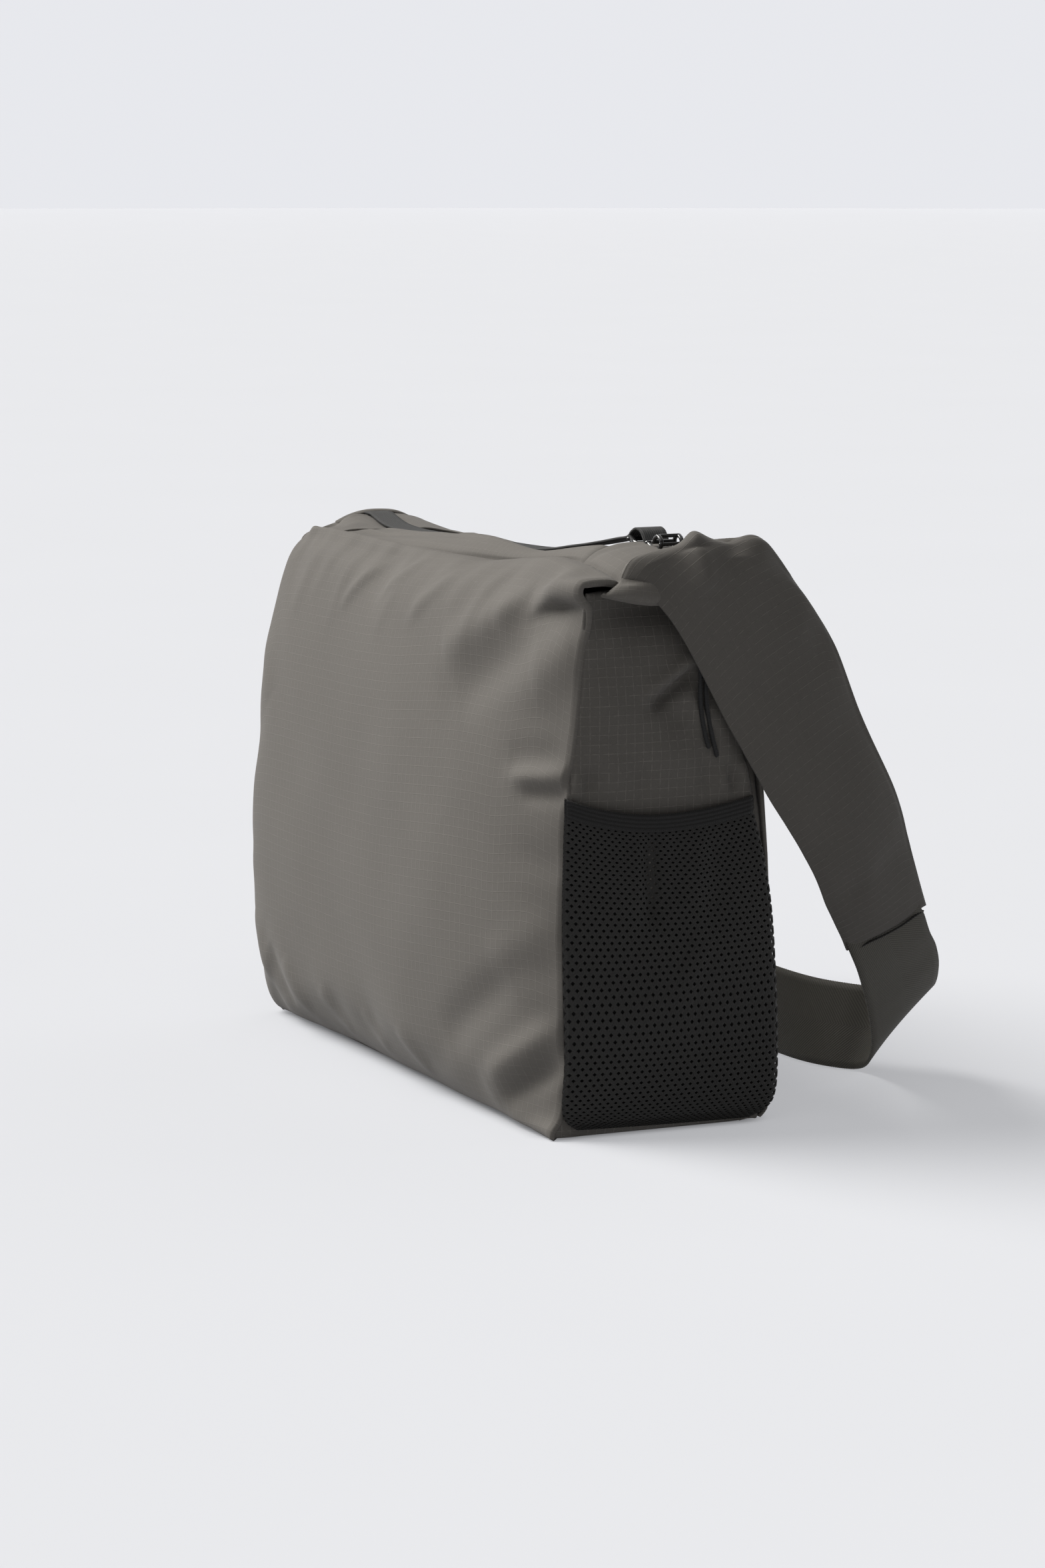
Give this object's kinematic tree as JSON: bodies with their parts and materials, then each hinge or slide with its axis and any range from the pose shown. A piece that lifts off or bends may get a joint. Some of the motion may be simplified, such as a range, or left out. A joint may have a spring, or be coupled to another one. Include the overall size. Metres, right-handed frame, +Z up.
{
  "type": "messenger bag",
  "caption": "Box-shaped padded messenger bag with a long zip mouth, mesh side pockets, a compression strap over the top and a wide shoulder strap.",
  "frame": {"origin": "centre of the bag's base, on the surface it stands on", "axes": "+X along the front from its left to its right, +Y from front to back, +Z up"},
  "size_m": [0.4421, 0.2927, 0.334],
  "materials": {
    "ripstop": "grey-taupe ripstop, matt with a faint sheen",
    "board": "black polyethylene board",
    "foam": "closed-cell foam in a lining",
    "air_mesh": "knitted spacer mesh",
    "elastic": "ribbed elastic binding",
    "zip_tape": "woven zip tape",
    "zip_coil": "nylon coil",
    "black_metal": "black enamel",
    "cord": "braided cord",
    "black_webbing": "ribbed webbing",
    "black_plastic": "moulded acetal",
    "strap_webbing": "herringbone seat-belt webbing"
  },
  "bodies": {
    "bag": {"front_panel": "ripstop", "back_panel": "ripstop", "bottom_panel": "ripstop", "gusset_right": "ripstop", "gusset_left": "ripstop", "end_panel_right": "ripstop", "end_panel_left": "ripstop", "hood_right": "ripstop", "hood_left": "ripstop", "rear_pocket_panel": "ripstop", "base_board": "board", "back_foam": "foam", "front_foam": "foam", "laptop_sleeve": "ripstop", "mesh_pocket_right": "air_mesh", "mesh_pocket_left": "air_mesh", "binding_right": "elastic", "binding_left": "elastic", "zip_end_right": "zip_tape", "zip_end_left": "zip_tape", "top_webbing_tab": "black_webbing", "anchor_loop": "black_webbing", "strap_root": "ripstop"},
    "front_lip": {"front_lip": "ripstop", "zip_tape_front": "zip_tape", "zip_coil_front": "zip_coil", "top_webbing": "black_webbing", "ladder_lock": "black_plastic"},
    "rear_lip": {"rear_lip": "ripstop", "zip_tape_rear": "zip_tape", "zip_coil_rear": "zip_coil"},
    "hook": {"strap_hook": "black_plastic"},
    "slider": {"zip_slider": "black_metal", "pull_cord_front": "cord", "pull_cord_rear": "cord"},
    "strap": {"strap_pad": "ripstop", "strap_webbing": "strap_webbing", "strap_tab": "ripstop", "strap_ring": "black_plastic"},
    "glide": {"tri_glide": "black_plastic"}
  },
  "joints": [
    {"name": "front_lip_fold", "type": "hinge", "parent": "bag", "child": "front_lip", "pos_m": [0, -0.046, 0.2983], "axis": [1, 0, 0], "range_deg": [0, 75]},
    {"name": "rear_lip_fold", "type": "hinge", "parent": "bag", "child": "rear_lip", "pos_m": [0, 0.042, 0.2983], "axis": [-1, 0, 0], "range_deg": [0, 75]},
    {"name": "hook_tilt", "type": "hinge", "parent": "front_lip", "child": "hook", "pos_m": [0.1742, 0.0135, 0.3222], "axis": [0, -1, 0], "range_deg": [0, 60]},
    {"name": "zip_slide", "type": "slide", "parent": "bag", "child": "slider", "axis": [-1, 0, 0], "range_m": [0, 0.342], "deforming": ["pull_cord_front", "pull_cord_rear"]},
    {"name": "strap_swing", "type": "hinge", "parent": "bag", "child": "strap", "pos_m": [0, 0.014, 0.29], "axis": [1, 0, 0], "range_deg": [0, 150]},
    {"name": "glide_slide", "type": "slide", "parent": "strap", "child": "glide", "axis": [0, -0.5166, 0.8562], "range_m": [-0.02, 0.02]}
  ],
  "couplings": [
    {"joint": "rear_lip_fold", "follows": "front_lip_fold", "ratio": 1}
  ]
}
